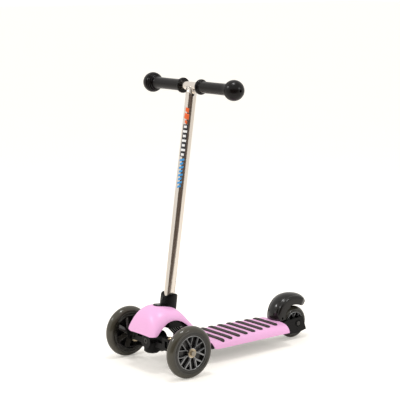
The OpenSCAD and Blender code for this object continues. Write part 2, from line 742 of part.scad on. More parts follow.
module tie_pin() translate([kingpin_x, tie_y, 0]) {
    translate([0, 0, arm_top - arm_h]) cylinder(r = tie_pin_r, h = arm_h + 2 * tie_r + 3 * side_gap);
    translate([0, 0, tie_z + tie_r + side_gap]) cylinder(r = tie_pin_r + 1.8, h = 2);
}
module left_tie_pin() place() color(steel) tie_pin();
module right_tie_pin() place() color(steel) mirror([1, 0, 0]) tie_pin();

// A tyre round the Z axis, with a rounded tread
module tyre(r, w, rim_r) rotate_extrude($fn = 96) difference() {
    union() {
        translate([rim_r, -w / 2 + 4]) square([r - rim_r - w / 2 + 2, w - 8]);
        translate([rim_r, -w / 2]) square([r - rim_r - w / 2 + 4, w]);
        intersection() {
            translate([r - w * 0.62, 0]) circle(r = w * 0.62);
            translate([rim_r, -w / 2]) square([r, w]);
        }
    }
}

// One Y-shaped spoke: a short stem at the hub and two prongs out to the rim
module spoke_outline(hub, fork, rim, bar) {
    translate([hub - 1, -bar / 2]) square([fork - hub + 2, bar]);
    for (s = [-1, 1]) translate([fork, 0]) rotate(s * 22) translate([0, -bar / 2])
        square([(rim - fork) * 1.06, bar]);
}

module rim(r, w, count, hub) difference() {
    union() {
        difference() {
            cylinder(r = r, h = w - 4, center = true, $fn = 96);
            cylinder(r = r - 3.5, h = w, center = true, $fn = 96);
        }
        cylinder(r = hub, h = w - 1, center = true);
        intersection() {
            translate([0, 0, -w / 2 + 4]) linear_extrude(w - 7)
                for (k = [0 : count - 1]) rotate(k * 360 / count)
                    spoke_outline(hub, hub + (r - hub) * 0.36, r - 2.5, 3);
            cylinder(r = r - 1, h = w, center = true);
        }
    }
    cylinder(r = axle_r + 2.5, h = w + 1, center = true);
    for (s = [-1, 1]) translate([0, 0, s * (w / 2 - 0.5 - bearing_w / 2)])
        cylinder(r = bearing_r, h = bearing_w + 2 * tiny, center = true);
}

module bearings(w) for (s = [-1, 1]) translate([0, 0, s * (w / 2 - 0.5 - bearing_w / 2)])
    difference() {
        cylinder(r = bearing_r - tiny, h = bearing_w, center = true);
        cylinder(r = axle_r + run_fit, h = bearing_w + 1, center = true);
        for (e = [-1, 1]) translate([0, 0, e * bearing_w / 2]) difference() {
            cylinder(r = bearing_r - 2, h = 1, center = true);
            cylinder(r = axle_r + 2, h = 2, center = true);
        }
    }

module at_left_wheel() place() translate([wheel_x, 0, front_r]) rotate([0, 90, 0]) children();
module at_right_wheel() place() translate([-wheel_x, 0, front_r]) rotate([0, -90, 0]) children();
module at_rear_wheel() place() translate([0, wheelbase, rear_r]) rotate([0, 90, 0]) children();

module left_tyre() color(dark_grey) at_left_wheel() tyre(front_r, front_w, front_rim_d / 2);
module right_tyre() color(dark_grey) at_right_wheel() tyre(front_r, front_w, front_rim_d / 2);
module rear_tyre() color(dark_grey) at_rear_wheel() tyre(rear_r, rear_w, rear_rim_d / 2);
module left_rim() color("gray") at_left_wheel() rim(front_rim_d / 2, front_w, spokes, hub_r);
module right_rim() color("gray") at_right_wheel() rim(front_rim_d / 2, front_w, spokes, hub_r);
module rear_rim() color("gray") at_rear_wheel() rim(rear_rim_d / 2, rear_w, 5, hub_r);
module left_bearings() color(steel) at_left_wheel() bearings(front_w);
module right_bearings() color(steel) at_right_wheel() bearings(front_w);
module rear_bearings() color(steel) at_rear_wheel() bearings(rear_w);

module rear_axle() place() color(steel) translate([0, wheelbase, rear_r]) {
    rod_x(axle_r, -cheek_out - 1, cheek_out - 3 + tiny);
    translate([cheek_out - 3, 0, 0]) rotate([0, 90, 0]) cylinder(r = 6.4, h = 5, $fn = 6);
    both_sides() rod_x(axle_r + 2, rear_w / 2 - 0.5 + side_gap, cheek_in - tiny);
}

module rear_axle_nut() place() color(steel) translate([0, wheelbase, rear_r]) difference() {
    translate([-cheek_out + 3, 0, 0]) rotate([0, -90, 0]) cylinder(r = 6.4, h = 4.5, $fn = 6);
    rod_x(axle_r + push_fit, -cheek_out - 4, 0);
}

// ---- rear brake ----

// Crown line of the brake: an arc over the tyre that flattens towards the tail. Each point has its
// place along the scooter, its height and the angle that the brake faces there
crown_from = 192;
tail_to = 50;
arc_share = 0.62;
function crown_line(u) =
    u < arc_share
        ? let (a = crown_from - (crown_from - 90) * u / arc_share)
            [crown_y + crown_r * cos(a), crown_z + crown_r * sin(a), a]
        : let (a = 90 - (90 - tail_to) * (u - arc_share) / (1 - arc_share))
            [crown_y + tail_r * cos(a), crown_z - tail_drop + tail_r * sin(a), a];

pad_half = 14.5;
pad_sunk = 4.5;
pad_screw_at = 0.171;
pad_screw_x = 12;
pad_screw_sunk = 3.2;
pad_screw_r = 3.2;
pad_thread_r = 1.7;
brake_steps = 22;
brake_angles = [for (k = [-7 : 7]) k * 90 / 7];
brake_round = 15;
tail_block = 0.86;

// One cross-section of the brake, from one lower edge over the crown to the other
function brake_row(u, inset) =
    let (
        c = crown_line(u),
        end = max(0, (u - 0.88) / 0.12),
        half = (brake_half - inset) * (1 - 0.4 * end ^ 2),
        sink = inset + 5 * end ^ 2,
        deep = brake_depth - 5 * end ^ 2,
        flat = concat(
            [[-half, -deep]],
            [for (a = brake_angles) [half * sin(a), -sink - brake_round * (1 - cos(a))]],
            [[half, -deep]]))
    [for (p = flat) [p[0], c[0] + p[1] * cos(c[2]), c[1] + p[1] * sin(c[2])]];

module brake_shell() {
    rows = brake_steps + 1;
    cols = len(brake_angles) + 2;
    inner = rows * cols;
    last = (rows - 1) * cols;
    points = concat(
        [for (i = [0 : brake_steps]) each brake_row(i / brake_steps, 0)],
        [for (i = [0 : brake_steps]) each brake_row(tail_block * i / brake_steps, brake_wall)]);
    faces = concat(
        grid_faces(rows, cols, 0, false),
        grid_faces(rows, cols, inner, true),
        [for (i = [0 : rows - 2]) let (p = i * cols, q = p + cols - 1)
            each concat(
                strip_faces(p, p + inner, p + cols, p + cols + inner),
                strip_faces(q + inner, q, q + cols + inner, q + cols))],
        [for (j = [0 : cols - 2])
            each strip_faces(j + 1, j + 1 + inner, j, j + inner)],
        [[for (j = [cols - 1 : -1 : 0]) last + j], [for (j = [0 : cols - 1]) inner + last + j]],
        strip_faces(last, last + inner, last + cols - 1, last + inner + cols - 1));
    polyhedron(points = points, faces = faces, convexity = 8);
}

// The two screws through the brake's front face that hold the pad
module at_pad_screws() {
    c = crown_line(pad_screw_at);
    for (x = [-pad_screw_x, pad_screw_x])
        translate([x, c[0], c[1]]) rotate([c[2] - 90, 0, 0]) translate([0, 0, -pad_screw_sunk]) children();
}

module rear_brake() place() color(black) difference() {
    brake_shell();
    box([-brake_w, 0, 0], [brake_w, wheelbase, brake_low]);
    translate([0, brake_pivot_y, brake_pivot_z]) rod_x(brake_pin_r + run_fit, -40, 40);
    at_pad_screws() {
        cylinder(r = pad_screw_r + push_fit, h = 10);
        translate([0, 0, -20]) cylinder(r = pad_thread_r + push_fit, h = 20);
    }
}

// Rubber block on the brake's inside that rubs on the tyre, as seen from the side
module pad_outline() difference() {
    intersection() {
        translate([wheelbase, 0])
            polygon([[-66, 72], [-45, 70], [-36, 64], [-16, 80], [-26, 96], [-44, 106], [-66, 90]]);
        translate([crown_y, crown_z]) circle(r = crown_r - brake_wall - pad_sunk);
    }
    translate([wheelbase, rear_r]) circle(r = rear_r + pad_gap);
}

module brake_pad() place() color(dark_grey) difference() {
    rotate([90, 0, 90]) translate([0, 0, -pad_half]) linear_extrude(2 * pad_half) pad_outline();
    at_pad_screws() translate([0, 0, -20]) cylinder(r = pad_thread_r + push_fit, h = 20);
}

module brake_screw() place() color(steel) at_pad_screws() {
    cylinder(r = pad_screw_r, h = 2);
    translate([0, 0, -10]) cylinder(r = pad_thread_r, h = 10 + tiny);
}

module brake_pin() place() color(steel) translate([0, brake_pivot_y, brake_pivot_z])
    rod_x(brake_pin_r, -brake_half, brake_half);

module brake_spring() place() color(steel) translate([0, brake_pivot_y, brake_pivot_z])
    for (k = [-3 : 3]) translate([k * 1.9, 0, 0]) rotate([0, 90, 0]) rotate_extrude()
        translate([brake_pin_r + 1.4, 0]) circle(r = 0.9, $fn = 16);

stem_tube();
crossbar();
left_grip();
right_grip();
stem_decal();
lock_button();
lock_spring();
stem_socket();
socket_screws();
deck_cover();
head_frame();
under_deck();
deck_screws();
grip_strip_1();
grip_strip_2();
grip_strip_3();
grip_strip_4();
grip_strip_5();
grip_strip_6();
grip_strip_7();
grip_strip_8();
steering_post();
post_screws();
lean_bush();
axle_beam();
lean_bolt();
lean_nut();
left_centring_spring();
right_centring_spring();
left_kingpin();
right_kingpin();
tie_rod();
left_knuckle();
left_stub_axle();
left_axle_washer();
left_tie_pin();
left_tyre();
left_rim();
left_bearings();
right_knuckle();
right_stub_axle();
right_axle_washer();
right_tie_pin();
right_tyre();
right_rim();
right_bearings();
rear_tyre();
rear_rim();
rear_bearings();
rear_axle();
rear_axle_nut();
rear_brake();
brake_pad();
brake_screw();
brake_pin();
brake_spring();
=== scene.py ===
import json
import math
from math import cos, radians, sin

import bmesh
import bpy
from mathutils import Matrix, Vector


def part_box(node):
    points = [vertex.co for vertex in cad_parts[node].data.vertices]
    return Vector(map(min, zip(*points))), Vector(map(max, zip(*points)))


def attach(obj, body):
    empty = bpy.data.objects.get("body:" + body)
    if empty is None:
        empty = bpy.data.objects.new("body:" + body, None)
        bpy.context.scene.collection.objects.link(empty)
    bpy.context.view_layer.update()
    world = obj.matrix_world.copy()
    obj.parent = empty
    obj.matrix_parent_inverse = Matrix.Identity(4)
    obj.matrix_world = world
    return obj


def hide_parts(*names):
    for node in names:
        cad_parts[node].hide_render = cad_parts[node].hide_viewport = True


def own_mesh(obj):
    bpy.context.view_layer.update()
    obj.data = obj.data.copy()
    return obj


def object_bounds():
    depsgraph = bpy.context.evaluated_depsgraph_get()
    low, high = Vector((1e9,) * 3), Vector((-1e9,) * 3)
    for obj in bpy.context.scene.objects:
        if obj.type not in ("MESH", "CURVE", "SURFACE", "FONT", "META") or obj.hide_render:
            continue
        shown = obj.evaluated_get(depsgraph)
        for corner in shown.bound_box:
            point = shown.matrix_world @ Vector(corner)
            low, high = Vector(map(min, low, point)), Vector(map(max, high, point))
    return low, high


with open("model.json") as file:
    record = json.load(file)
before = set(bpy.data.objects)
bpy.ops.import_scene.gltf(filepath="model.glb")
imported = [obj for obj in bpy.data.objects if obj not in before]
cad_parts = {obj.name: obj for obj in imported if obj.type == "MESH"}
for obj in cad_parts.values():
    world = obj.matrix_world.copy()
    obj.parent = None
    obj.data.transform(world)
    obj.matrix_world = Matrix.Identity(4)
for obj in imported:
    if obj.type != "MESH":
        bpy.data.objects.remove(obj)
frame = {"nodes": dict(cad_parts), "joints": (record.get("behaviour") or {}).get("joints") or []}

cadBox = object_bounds()
if cadBox[0].x < -0.9:  # the importer's helper shapes are measured too, so the box comes from the nodes
    corners = [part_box(name) for name in frame["nodes"]]
    cadBox = (Vector([min(c[0][k] for c in corners) for k in range(3)]),
              Vector([max(c[1][k] for c in corners) for k in range(3)]))
print("frame loaded")


def middle(node):
    low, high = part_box(node)
    return (low + high) / 2


frontAxle = middle("left_tyre")
rearAxle = middle("rear_tyre")
midY = -frontAxle.y * 1000  # millimetres from the front axle to the middle of the scooter
wheelbase = (rearAxle.y - frontAxle.y) * 1000
postLine = dict(rake=8, footY=30.5, footZ=138)  # lean in degrees, and the place where it leaves the hood
rake = radians(postLine["rake"])


def mm(x, y, z):  # millimetres with y from the front axle
    return Vector((x, y - midY, z)) / 1000


postAxis = Vector((0, sin(rake), cos(rake)))
postFoot = mm(0, postLine["footY"], postLine["footZ"])
postTurn = Matrix.Rotation(-rake, 4, "X")


def onPost(x, y, s):  # millimetres round the post's own axis
    return postFoot + postTurn @ Vector((x / 1000, y / 1000, s / 1000))


# mottle and grain are scale and strength, the second as a bump; uneven is how far the roughness wanders
def finish(name, colour, rough, metal=0.0, coat=0.0, coatRough=0.15, specular=0.5,
           mottle=(60, 0.08), uneven=0.06, grain=(900, 0.05), stretch=(1, 1, 1)):
    made = bpy.data.materials.new(name)
    made.use_nodes = True
    nodes, links = made.node_tree.nodes, made.node_tree.links
    shader = nodes["Principled BSDF"]
    shader.inputs["Metallic"].default_value = metal
    shader.inputs["Specular IOR Level"].default_value = specular
    shader.inputs["Coat Weight"].default_value = coat
    shader.inputs["Coat Roughness"].default_value = coatRough
    place = nodes.new("ShaderNodeTexCoord")
    turn = nodes.new("ShaderNodeMapping")
    turn.inputs["Scale"].default_value = stretch
    links.new(place.outputs["Object"], turn.inputs["Vector"])

    patches = nodes.new("ShaderNodeTexNoise")
    patches.inputs["Scale"].default_value = mottle[0]
    patches.inputs["Detail"].default_value = 4
    links.new(turn.outputs["Vector"], patches.inputs["Vector"])
    shades = nodes.new("ShaderNodeValToRGB")
    shades.color_ramp.elements[0].position = 0.3
    shades.color_ramp.elements[1].position = 0.7
    for element, change in zip(shades.color_ramp.elements, (1 - mottle[1], 1 + mottle[1])):
        element.color = [min(1, c * change) for c in colour] + [1]
    links.new(patches.outputs["Fac"], shades.inputs["Fac"])
    links.new(shades.outputs["Color"], shader.inputs["Base Color"])

    worn = nodes.new("ShaderNodeMapRange")
    worn.inputs["To Min"].default_value = max(0.02, rough - uneven)
    worn.inputs["To Max"].default_value = rough + uneven
    links.new(patches.outputs["Fac"], worn.inputs["Value"])
    links.new(worn.outputs["Result"], shader.inputs["Roughness"])

    fine = nodes.new("ShaderNodeTexNoise")
    fine.inputs["Scale"].default_value = grain[0]
    fine.inputs["Detail"].default_value = 2
    links.new(turn.outputs["Vector"], fine.inputs["Vector"])
    bump = nodes.new("ShaderNodeBump")
    bump.inputs["Strength"].default_value = grain[1]
    bump.inputs["Distance"].default_value = 0.001
    links.new(fine.outputs["Fac"], bump.inputs["Height"])
    links.new(bump.outputs["Normal"], shader.inputs["Normal"])
    return made


pinkPlastic = finish("pinkPlastic", (0.96, 0.50, 0.83), 0.38, coat=0.2, coatRough=0.25,
                     mottle=(25, 0.02), grain=(1400, 0.03))
blackPlastic = finish("blackPlastic", (0.003, 0.0028, 0.003), 0.26, specular=0.2, mottle=(80, 0.25),
                      grain=(1500, 0.12))
glossBlack = finish("glossBlack", (0.006, 0.005, 0.0042), 0.2, specular=0.36, coat=0.2, coatRough=0.08,
                    mottle=(60, 0.15), grain=(1200, 0.04))
truckPlastic = finish("truckPlastic", (0.004, 0.0037, 0.0037), 0.34, specular=0.17, mottle=(90, 0.25),
                      grain=(1300, 0.15))
gripRubber = finish("gripRubber", (0.004, 0.003, 0.0026), 0.24, specular=0.28, mottle=(120, 0.2),
                    grain=(1100, 0.06))
stripRubber = finish("stripRubber", (0.042, 0.033, 0.031), 0.6, specular=0.3, mottle=(150, 0.2),
                     grain=(1600, 0.3))
padRubber = finish("padRubber", (0.03, 0.028, 0.026), 0.8, mottle=(150, 0.2), grain=(1200, 0.4))
polishedAlloy = finish("polishedAlloy", (0.93, 0.86, 0.78), 0.14, metal=1, mottle=(40, 0.03),
                       uneven=0.03, grain=(1800, 0.03), stretch=(1, 1, 0.06))
satinSteel = finish("satinSteel", (0.72, 0.71, 0.69), 0.25, metal=1, mottle=(120, 0.08), grain=(1500, 0.08))
yellowZinc = finish("yellowZinc", (0.52, 0.43, 0.30), 0.3, metal=1, mottle=(150, 0.15), grain=(1200, 0.08))
hubZinc = finish("hubZinc", (0.34, 0.31, 0.26), 0.35, metal=1, mottle=(150, 0.12), grain=(1300, 0.08))
bronze = finish("bronze", (0.55, 0.38, 0.2), 0.4, metal=1, mottle=(200, 0.12), grain=(1400, 0.1))
rimBlack = finish("rimBlack", (0.012, 0.011, 0.011), 0.2, mottle=(80, 0.15), grain=(900, 0.05))
blackSteel = finish("blackSteel", (0.06, 0.058, 0.056), 0.35, metal=0.8, mottle=(150, 0.15), grain=(1400, 0.1))
bladeBlack = finish("bladeBlack", (0.03, 0.027, 0.023), 0.13, specular=0.6, coat=0.5, coatRough=0.05,
                    mottle=(80, 0.15), grain=(900, 0.03))
rimSilver = finish("rimSilver", (0.30, 0.305, 0.31), 0.34, metal=0.7, mottle=(200, 0.1), grain=(1500, 0.08))
print("finishes made")


weldGap = 2e-6  # metres


def piece(name, bm, body, finishes, replaced, flatAngle=35, turnOut=True):
    bmesh.ops.remove_doubles(bm, verts=bm.verts, dist=weldGap)
    if turnOut:
        bmesh.ops.recalc_face_normals(bm, faces=bm.faces)
    mesh = bpy.data.meshes.new(name)
    bm.to_mesh(mesh)
    bm.free()
    for made in finishes:
        mesh.materials.append(made)
    mesh.shade_smooth()
    mesh.set_sharp_from_angle(angle=radians(flatAngle))
    obj = bpy.data.objects.new(name, mesh)
    bpy.context.collection.objects.link(obj)
    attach(obj, body)
    if replaced:
        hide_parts(*replaced)
    return obj


def sheet(bm, across, along, place):  # a grid laid over the surface place(u, v), with u and v from 0 to 1
    for v in bmesh.ops.create_grid(bm, x_segments=across, y_segments=along, size=1)["verts"]:
        v.co = place((v.co.x + 1) / 2, (v.co.y + 1) / 2)


def lathe(bm, outline, centre, axis, steps=96, material=0, closed=False):  # outline of (along, radius) in mm
    axis = Vector(axis).normalized()
    side = axis.orthogonal().normalized()
    points = [bm.verts.new(Vector(centre) + axis * a / 1000 + side * r / 1000) for a, r in outline]
    edges = [bm.edges.new(pair) for pair in zip(points, points[1:])]
    if closed:
        edges.append(bm.edges.new((points[-1], points[0])))
    before = set(bm.faces)
    bmesh.ops.spin(bm, geom=points + edges, cent=centre, axis=axis, angle=2 * math.pi, steps=steps,
                   use_merge=True)
    for face in set(bm.faces) - before:
        face.material_index = material


def arc(cx, cy, r, start, end, count):  # points on an arc, in degrees
    return [(cx + r * cos(radians(start + (end - start) * k / count)),
             cy + r * sin(radians(start + (end - start) * k / count))) for k in range(count + 1)]


def bar(bm, start, end, up, width, height, rounding, material=0, segments=2):  # a rounded bar, in mm
    start, end, up = Vector(start), Vector(end), Vector(up).normalized()
    along = (end - start).normalized()
    side = along.cross(up).normalized()
    up = side.cross(along)
    made = bmesh.ops.create_cube(bm, size=1)["verts"]
    length = (end - start).length
    for v in made:
        x, y, z = v.co
        v.co = (start + end) / 2 + along * x * length + (side * y * width + up * z * height) / 1000
    edges = list({e for v in made for e in v.link_edges})
    faces = {f for v in made for f in v.link_faces}
    for f in faces:
        f.material_index = material
    bmesh.ops.bevel(bm, geom=edges, offset=rounding / 1000, offset_type="OFFSET", segments=segments,
                    profile=0.5, affect="EDGES", material=-1)


def soften(obj, width=0.5, angle=38, segments=2):
    bevel = obj.modifiers.new("softEdges", "BEVEL")
    bevel.width = width / 1000
    bevel.limit_method = "ANGLE"
    bevel.angle_limit = radians(angle)
    bevel.segments = segments
    bevel.harden_normals = True


deckCover = dict(
    wall=3.0, edgeRound=0.7, across=72, along=150,
    evenShare=0.62, evenPower=1.5, frontPower=2.6, crestPower=0.9,
    # place, half width, top, lower edge, squareness across, squareness upwards
    rows=[(-50, 36, 85.5, 84.5, 2.4, 1.85), (-47, 49, 102, 86.5, 2.4, 1.85),
          (-40, 53, 123, 88, 2.3, 1.85), (-26, 53, 138.5, 102, 2.2, 1.85),
          (-8, 52.5, 145, 115, 2.1, 1.85), (14, 55.5, 143.5, 118, 2.1, 1.85),
          (36, 58, 136.5, 108, 2.3, 1.85), (58, 59, 114, 88, 2.6, 1.85),
          (80, 60, 86, 70, 3.2, 1.9), (98, 62, 66, 57, 4.5, 2.1),
          (111, 64, 56, 48, 8, 2.5), (119, 65.7, 51, 35, 12, 2.8),
          (126, 66, 50, 33, 14, 3), (wheelbase - 61, 61, 54, 33, 4.5, 1.85)])


def coverValue(y, k):
    rows = deckCover["rows"]
    last = len(rows) - 1
    i = max(j for j in range(last) if rows[j][0] <= y or j == 0)
    a, b = rows[i], rows[i + 1]

    def slope(n):
        p, q = rows[max(n - 1, 0)], rows[min(n + 1, last)]
        return (q[k] - p[k]) / (q[0] - p[0])

    h = b[0] - a[0]
    t = (y - a[0]) / h
    return ((2 * t ** 3 - 3 * t ** 2 + 1) * a[k] + (t ** 3 - 2 * t ** 2 + t) * h * slope(i)
            + (3 * t ** 2 - 2 * t ** 3) * b[k] + (t ** 3 - t ** 2) * h * slope(i + 1))


def coverPoint(y, a):  # a runs from -90 at one lower edge over the crest to 90
    s, c = sin(radians(a)), max(0, cos(radians(a)))
    x = coverValue(y, 1) * math.copysign(abs(s) ** (2 / coverValue(y, 4)), s)
    low, high = coverValue(y, 3), coverValue(y, 2)
    return x, y, low + max(0.6, high - low) * c ** (2 / coverValue(y, 5))


def coverTop(x, y):  # height of the cover over a place
    s = min(1, abs(x) / coverValue(y, 1)) ** (coverValue(y, 4) / 2)
    low, high = coverValue(y, 3), coverValue(y, 2)
    return low + (high - low) * math.sqrt(max(0, 1 - s * s)) ** (2 / coverValue(y, 5))


def makeDeckCover():
    first, last, even = deckCover["rows"][0][0], deckCover["rows"][-1][0], deckCover["evenShare"]
    bm = bmesh.new()

    def place(u, v):
        t = even * v ** deckCover["evenPower"] + (1 - even) * v ** deckCover["frontPower"] if v < 1 else 1
        y = first + (last - first) * t  # closer rows at the front
        a = 2 * u - 1
        a = 90 * math.copysign(abs(a) ** deckCover["crestPower"], a)
        return mm(*coverPoint(min(y, last), a))

    sheet(bm, deckCover["across"], deckCover["along"], place)
    bmesh.ops.recalc_face_normals(bm, faces=bm.faces)
    if sum(f.normal.z for f in bm.faces) < 0:
        bmesh.ops.reverse_faces(bm, faces=bm.faces)
    cover = piece("deckCover", bm, "frame", [pinkPlastic], ["deck_cover"], 50, turnOut=False)
    wall = cover.modifiers.new("wall", "SOLIDIFY")
    wall.thickness = deckCover["wall"] / 1000
    wall.offset = -1
    wall.use_even_offset = False
    soften(cover, deckCover["edgeRound"], 55, 3)


makeDeckCover()
print("deck cover made")

strip = dict(first=145.7, lastGap=27.2, count=8, width=12.0, rise=2.5, inset=2.8, taper=2.86, deckHalf=66,
             sink=0.4, under=0.5, sideSteep=1.7, sideRound=0.6, endSteep=1.25)


def makeStrips():
    pitch = (deckCover["rows"][-1][0] - strip["lastGap"] - strip["first"]) / (strip["count"] - 1)
    for k in range(strip["count"]):
        yMid = strip["first"] + k * pitch
        half = strip["deckHalf"] - strip["inset"] - strip["taper"] * k
        r = strip["width"] / 2
        bm = bmesh.new()

        def place(u, v):
            a = radians(180 * (1 - v))
            across = cos(a)  # -1 to 1 over the strip's width
            rise = 0
            if 0 < v < 1:
                rise = strip["rise"] * min(1, sin(a) * strip["sideSteep"]) ** strip["sideRound"]
            x = (2 * u - 1) * half
            past = max(0, abs(x) - (half - r))
            width = math.sqrt(max(0, r * r - past * past))
            fade = min(1, (width / r) * strip["endSteep"])
            y = yMid + across * width
            return mm(x, y, coverTop(x, y) - strip["sink"] + (rise + strip["sink"]) * fade)

        sheet(bm, 90, 12, place)
        low = bmesh.ops.extrude_face_region(bm, geom=bm.faces[:])["geom"]
        for v in (g for g in low if isinstance(g, bmesh.types.BMVert)):
            x, y = v.co.x * 1000, v.co.y * 1000 + midY
            v.co.z = (coverTop(x, y) - strip["under"]) / 1000
        piece(f"gripStrip{k + 1}", bm, "frame", [stripRubber], [f"grip_strip_{k + 1}"], 60)


makeStrips()
print("strips made")


# edge is a painted light colour for light glowing through the tread; depth is the urethane's own dark tone,
# which also serves as painted shade next to the rim
tyreShape = dict(crown=0.56, steps=128, grooveAt=0.3, grooveDeep=0.5, edge=(0.060, 0.054, 0.038),
                 depth=(0.013, 0.012, 0.009))


def tyreFinishWithPaintedLight(name, centre, r, rimR):  # smoky urethane's own dark tone over the core, kept next to the rim as painted shade, and lighter towards the tread as painted light glowing through the urethane
    made = finish(name, tyreShape["depth"], 0.15, specular=0.45, coat=0.3, coatRough=0.05, mottle=(30, 0.1),
                  uneven=0.05, grain=(700, 0.02))
    nodes, links = made.node_tree.nodes, made.node_tree.links
    place = nodes.new("ShaderNodeTexCoord")
    fromHub = nodes.new("ShaderNodeMapping")
    fromHub.inputs["Location"].default_value = (0, -centre.y, -centre.z)
    fromHub.inputs["Scale"].default_value = (0, 1, 1)
    away = nodes.new("ShaderNodeVectorMath")
    away.operation = "LENGTH"
    share = nodes.new("ShaderNodeMapRange")
    share.interpolation_type = "SMOOTHSTEP"
    share.inputs["From Min"].default_value = (rimR + 3) / 1000
    share.inputs["From Max"].default_value = (r - 1) / 1000
    # blends from the dark tone by the rim (painted shade) to the painted light colour at the tread
    paintedLightMix = nodes.new("ShaderNodeMix")
    paintedLightMix.data_type = "RGBA"
    paintedLightMix.inputs["B"].default_value = tyreShape["edge"] + (1,)
    shader = nodes["Principled BSDF"]
    base = shader.inputs["Base Color"].links[0].from_socket
    links.new(place.outputs["Object"], fromHub.inputs["Vector"])
    links.new(fromHub.outputs["Vector"], away.inputs[0])
    links.new(away.outputs["Value"], share.inputs["Value"])
    links.new(share.outputs["Result"], paintedLightMix.inputs["Factor"])
    links.new(base, paintedLightMix.inputs["A"])
    links.new(paintedLightMix.outputs["Result"], shader.inputs["Base Color"])
    return made


def makeTyre(name, node, body, centre, r, width, rimR):
    half = width / 2
    bm = bmesh.new()
    crownR = width * tyreShape["crown"]
    shoulder = math.degrees(math.asin(min(1, half / crownR)))
    groove = rimR + (r - rimR) * tyreShape["grooveAt"]  # shallow step between the bead and the smooth side
    dip = half - tyreShape["grooveDeep"]
    wall = [(half - 0.8, rimR - 0.4), (half - 0.2, rimR + 0.6), (half, rimR + 2), (half, groove - 0.8),
            (dip, groove - 0.3), (dip, groove + 0.5), (half, groove + 1.1)]
    outline = [(-x, y) for x, y in wall] + arc(0, r - crownR, crownR, 90 + shoulder, 90 - shoulder, 26)
    outline += wall[::-1] + [(half - 3, rimR), (-half + 3, rimR)]
    lathe(bm, outline, centre, (1, 0, 0), tyreShape["steps"], closed=True)
    piece(name, bm, body, [tyreFinishWithPaintedLight(name + "UrethaneAndPaintedLight", centre, r, rimR)], [node], 40)


rimShape = dict(ringWall=3.0, spokeWide=1.7, forkAt=0.2, prongSpread=13.4, firstTurn=9, hubR=12.4, boreR=10.9,
                bladeWide=12.5, bladeTilt=24, bladeThick=4.2, steps=112)


def makeRim(name, node, body, centre, outward, r, width, count):
    bm = bmesh.new()
    out = Vector((outward, 0, 0))
    half = width / 2
    ring = r - rimShape["ringWall"]
    # the rim itself, its bright lip and the hub
    lathe(bm, [(half - 2.2, r - 0.2), (half - 1.2, r - 0.8), (half - 1.0, r - 1.6), (half - 2.4, ring + 0.3),
               (half - 3.2, ring), (-half + 3, ring), (-half + 2.2, ring + 0.8), (-half + 2, r - 0.3)],
          centre, out, rimShape["steps"], closed=True)
    lathe(bm, [(half - 1.1, r - 0.6), (half - 0.8, r - 1.0), (half - 0.8, ring + 1.1),
               (half - 1.4, ring + 0.6), (half - 2.4, ring + 0.5), (half - 2.4, r - 0.6)],
          centre, out, rimShape["steps"], material=1, closed=True)
    hub, bore = rimShape["hubR"], rimShape["boreR"]
    lathe(bm, [(half - 0.6, bore), (half - 0.6, hub - 1.2), (half - 1.2, hub - 0.4), (half - 4, hub + 0.2),
               (-half + 4, hub + 0.8), (-half + 0.8, hub - 0.6), (-half + 0.6, bore)],
          centre, out, 72, closed=True)
    lathe(bm, [(half - 9.5, hub - 0.5), (half - 9.5, ring + 0.5), (half - 11.5, ring + 0.5),
               (half - 11.5, hub - 0.5)], centre, out, 72, closed=True)  # web behind the spokes
    up = Vector((0, 0, 1))
    side = out.cross(up)
    fork = hub + (r - hub) * rimShape["forkAt"]
    reach = ring + 0.8

    def spot(radius, turn, depth):
        a = radians(turn)
        return Vector(centre) + (up * cos(a) + side * sin(a)) * radius / 1000 + out * depth / 1000

    for k in range(count):
        turn = 360 * k / count + rimShape["firstTurn"]
        spread = rimShape["prongSpread"] * 7 / count
        wide = rimShape["spokeWide"]
        for inner, outer, end in ((hub - 0.6, fork + 0.6, turn), (fork - 0.4, reach, turn - spread),
                                  (fork - 0.4, reach, turn + spread)):
            bar(bm, spot(inner, turn, half - 4.2), spot(outer, end, half - 3.4), out, wide, 4.2, 0.7, 1)
            bar(bm, spot(inner, turn, half - 8.5), spot(outer, end, half - 8.5), out, wide - 0.5, 6.5, 0.3)
        lead = turn + 180 / count  # broad twisted blade on the side that faces the scooter
        tilt = Matrix.Rotation(radians(rimShape["bladeTilt"]), 3, spot(1, lead, 0) - spot(0, lead, 0))
        bar(bm, spot(hub - 1, lead - 4, -half + 5.5), spot(reach, lead + 6, -half + 4.5), tilt @ out,
            rimShape["bladeWide"] * r / 40, rimShape["bladeThick"], 2.0, 2, 5)
    piece(name, bm, body, [rimBlack, rimSilver, bladeBlack], [node], 40)


def halfSize(node):  # millimetres
    low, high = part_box(node)
    return (high - low) * 500


for side, outward, count in (("left", 1, 7), ("right", -1, 7), ("rear", 1, 6)):
    centre = middle(f"{side}_tyre")
    body = f"{side}_wheel"
    tyreHalf, rimR = halfSize(f"{side}_tyre"), halfSize(f"{side}_rim").z
    makeTyre(f"{side}Tyre", f"{side}_tyre", body, centre, tyreHalf.z, tyreHalf.x * 2, rimR)
    makeRim(f"{side}Rim", f"{side}_rim", body, centre, outward, rimR, tyreHalf.x * 2, count)
print("wheels made")


grip = dict(ballR=23.4, bodyR=13.5, barR=10.1, innerX=30, collarR=17.7, collarWide=7, ridges=4,
            ridgeDeep=2.08, ridgeFrom=95, ridgePitch=12, collarRound=2.2, waist=0.35, ballSteps=130, holeR=3.0,
            holeDeep=10)


